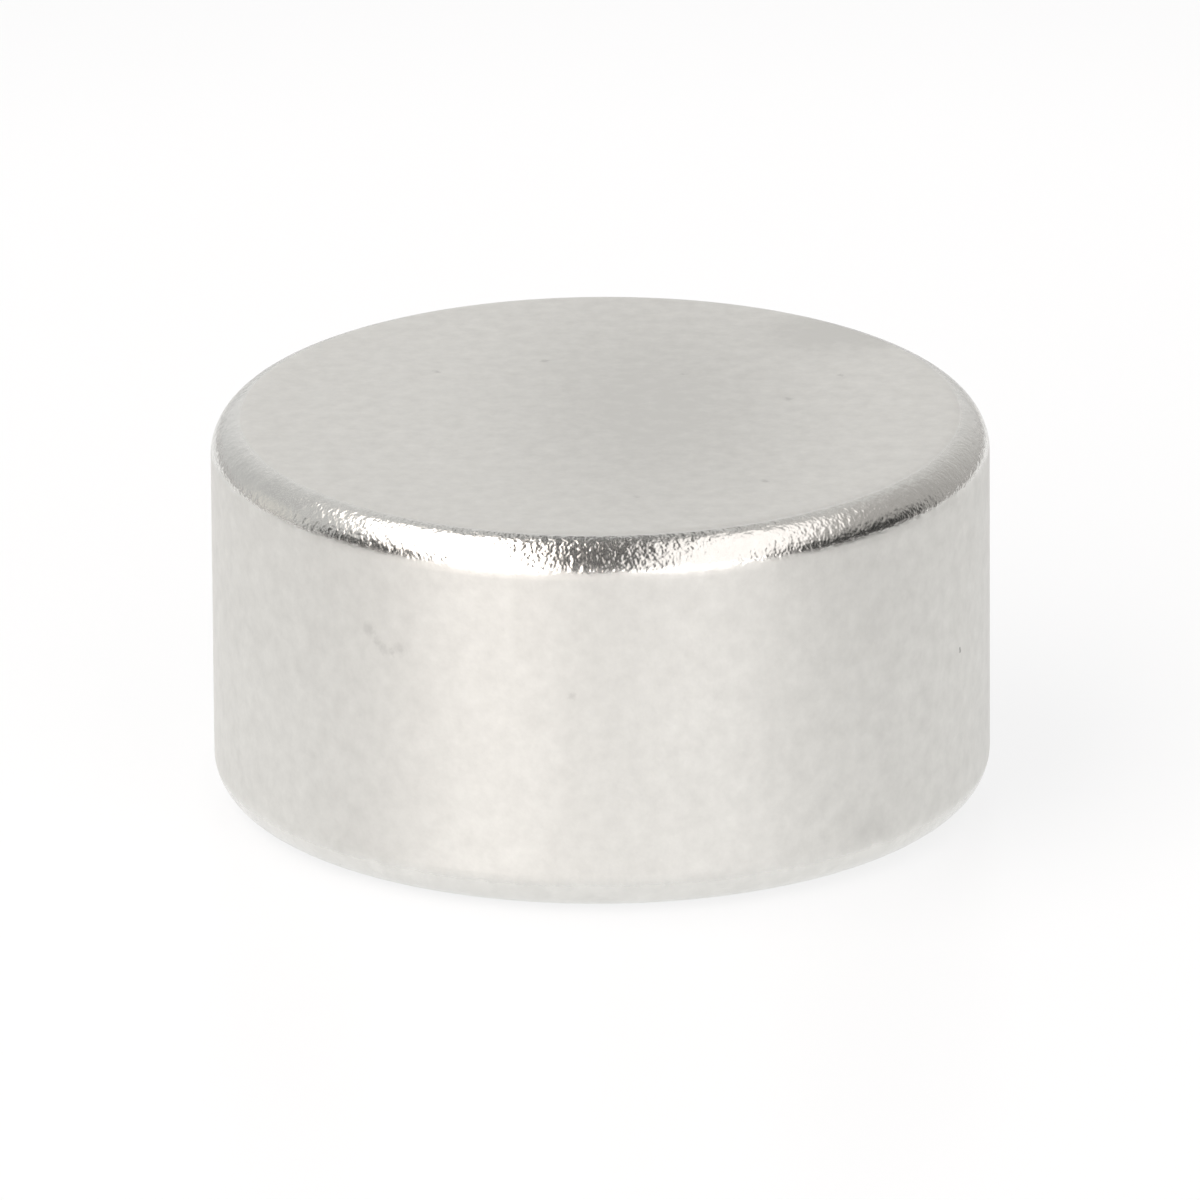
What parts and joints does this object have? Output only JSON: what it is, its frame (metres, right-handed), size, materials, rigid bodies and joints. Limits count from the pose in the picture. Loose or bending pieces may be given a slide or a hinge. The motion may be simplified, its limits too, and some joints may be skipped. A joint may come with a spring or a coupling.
{
  "type": "disc magnet",
  "caption": "Plain cylindrical disc magnet with flat pole faces, a straight wall and tumbled round edges, nickel plated all over.",
  "frame": {"origin": "centre of the lower pole face, in the plane that the magnet rests on", "axes": "+Z along the disc's axis, from the lower pole face to the upper one; X and Y are free, because the disc is round"},
  "size_m": [0.02, 0.02, 0.01],
  "materials": {
    "nickel_plate": "satin bright nickel plate on the faces and the wall, brighter and finely pebbled on the tumbled edges"
  },
  "bodies": {
    "root": {"magnet_disc": "nickel_plate"}
  },
  "joints": []
}
